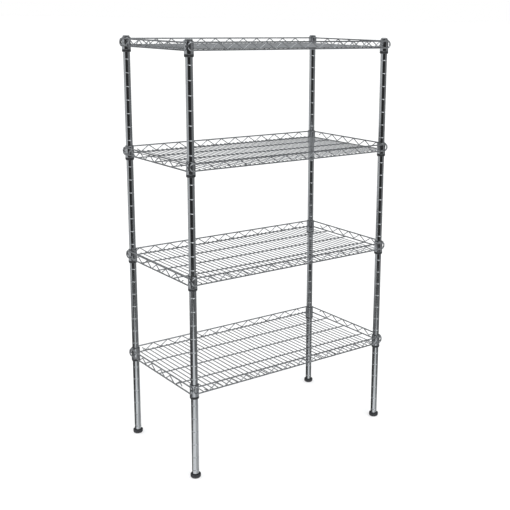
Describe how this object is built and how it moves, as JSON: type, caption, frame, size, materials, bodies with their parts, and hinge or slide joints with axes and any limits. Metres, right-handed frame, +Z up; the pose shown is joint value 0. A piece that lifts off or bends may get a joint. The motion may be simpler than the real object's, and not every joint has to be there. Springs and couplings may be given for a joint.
{
  "type": "wire shelving rack",
  "caption": "Free-standing chrome wire shelving rack: open wire shelves with zigzag rails clipped to grooved tube posts on levelling feet.",
  "frame": {"origin": "on the floor at the middle of the rack's footprint", "axes": "+Z up, +X along the long side to the right, +Y from front to back"},
  "size_m": [0.9156, 0.5006, 1.568],
  "materials": {
    "chromed_post": "bright chrome plate on drawn steel tube",
    "chromed_collar": "chrome plate on formed steel, a little duller than the posts",
    "chromed_wire": "chrome plate on drawn steel wire with weld spots",
    "zinc_steel": "bright zinc plate on turned steel",
    "sleeve_plastic": "moulded black nylon",
    "cap_plastic": "moulded grey plastic",
    "foot_rubber": "moulded charcoal rubber"
  },
  "bodies": {
    "root": {"post_front_left": "chromed_post", "post_front_right": "chromed_post", "post_back_left": "chromed_post", "post_back_right": "chromed_post", "post_cap_front_left": "cap_plastic", "post_cap_front_right": "cap_plastic", "post_cap_back_left": "cap_plastic", "post_cap_back_right": "cap_plastic", "insert_front_left": "zinc_steel", "insert_front_right": "zinc_steel", "insert_back_left": "zinc_steel", "insert_back_right": "zinc_steel", "shelf_1_inner_sleeve_halves": "sleeve_plastic", "shelf_1_outer_sleeve_halves": "sleeve_plastic", "shelf_2_inner_sleeve_halves": "sleeve_plastic", "shelf_2_outer_sleeve_halves": "sleeve_plastic", "shelf_3_inner_sleeve_halves": "sleeve_plastic", "shelf_3_outer_sleeve_halves": "sleeve_plastic", "shelf_4_inner_sleeve_halves": "sleeve_plastic", "shelf_4_outer_sleeve_halves": "sleeve_plastic"},
    "shelf_1": {"shelf_1_collars": "chromed_collar", "shelf_1_front_rail": "chromed_wire", "shelf_1_back_rail": "chromed_wire", "shelf_1_left_rail": "chromed_wire", "shelf_1_right_rail": "chromed_wire", "shelf_1_ribs": "chromed_wire", "shelf_1_cross_wires": "chromed_wire"},
    "shelf_2": {"shelf_2_collars": "chromed_collar", "shelf_2_front_rail": "chromed_wire", "shelf_2_back_rail": "chromed_wire", "shelf_2_left_rail": "chromed_wire", "shelf_2_right_rail": "chromed_wire", "shelf_2_ribs": "chromed_wire", "shelf_2_cross_wires": "chromed_wire"},
    "shelf_3": {"shelf_3_collars": "chromed_collar", "shelf_3_front_rail": "chromed_wire", "shelf_3_back_rail": "chromed_wire", "shelf_3_left_rail": "chromed_wire", "shelf_3_right_rail": "chromed_wire", "shelf_3_ribs": "chromed_wire", "shelf_3_cross_wires": "chromed_wire"},
    "shelf_4": {"shelf_4_collars": "chromed_collar", "shelf_4_front_rail": "chromed_wire", "shelf_4_back_rail": "chromed_wire", "shelf_4_left_rail": "chromed_wire", "shelf_4_right_rail": "chromed_wire", "shelf_4_ribs": "chromed_wire", "shelf_4_cross_wires": "chromed_wire"},
    "pad_front_left": {"foot_pad_front_left": "foot_rubber"},
    "stud_front_left": {"foot_stud_front_left": "zinc_steel"},
    "pad_front_right": {"foot_pad_front_right": "foot_rubber"},
    "stud_front_right": {"foot_stud_front_right": "zinc_steel"},
    "pad_back_left": {"foot_pad_back_left": "foot_rubber"},
    "stud_back_left": {"foot_stud_back_left": "zinc_steel"},
    "pad_back_right": {"foot_pad_back_right": "foot_rubber"},
    "stud_back_right": {"foot_stud_back_right": "zinc_steel"}
  },
  "joints": [
    {"name": "shelf_1_lift", "type": "slide", "parent": "root", "child": "shelf_1", "axis": [0, 0, 1], "range_m": [0, 0.34]},
    {"name": "shelf_2_lift", "type": "slide", "parent": "root", "child": "shelf_2", "axis": [0, 0, 1], "range_m": [0, 0.34]},
    {"name": "shelf_3_lift", "type": "slide", "parent": "root", "child": "shelf_3", "axis": [0, 0, 1], "range_m": [0, 0.34]},
    {"name": "shelf_4_lift", "type": "slide", "parent": "root", "child": "shelf_4", "axis": [0, 0, 1], "range_m": [0, 0.1]},
    {"name": "foot_front_left_slide", "type": "slide", "parent": "root", "child": "pad_front_left", "axis": [0, 0, -1], "range_m": [0, 0.012]},
    {"name": "foot_front_left_screw", "type": "hinge", "parent": "pad_front_left", "child": "stud_front_left", "pos_m": [-0.4325, -0.225, 0.005], "axis": [0, 0, -1], "range_deg": [0, 2880]},
    {"name": "foot_front_right_slide", "type": "slide", "parent": "root", "child": "pad_front_right", "axis": [0, 0, -1], "range_m": [0, 0.012]},
    {"name": "foot_front_right_screw", "type": "hinge", "parent": "pad_front_right", "child": "stud_front_right", "pos_m": [0.4325, -0.225, 0.005], "axis": [0, 0, -1], "range_deg": [0, 2880]},
    {"name": "foot_back_left_slide", "type": "slide", "parent": "root", "child": "pad_back_left", "axis": [0, 0, -1], "range_m": [0, 0.012]},
    {"name": "foot_back_left_screw", "type": "hinge", "parent": "pad_back_left", "child": "stud_back_left", "pos_m": [-0.4325, 0.225, 0.005], "axis": [0, 0, -1], "range_deg": [0, 2880]},
    {"name": "foot_back_right_slide", "type": "slide", "parent": "root", "child": "pad_back_right", "axis": [0, 0, -1], "range_m": [0, 0.012]},
    {"name": "foot_back_right_screw", "type": "hinge", "parent": "pad_back_right", "child": "stud_back_right", "pos_m": [0.4325, 0.225, 0.005], "axis": [0, 0, -1], "range_deg": [0, 2880]}
  ],
  "couplings": [
    {"joint": "foot_front_left_screw", "follows": "foot_front_left_slide", "rad_per_m": 4188.7},
    {"joint": "foot_front_right_screw", "follows": "foot_front_right_slide", "rad_per_m": 4188.7},
    {"joint": "foot_back_left_screw", "follows": "foot_back_left_slide", "rad_per_m": 4188.7},
    {"joint": "foot_back_right_screw", "follows": "foot_back_right_slide", "rad_per_m": 4188.7}
  ]
}
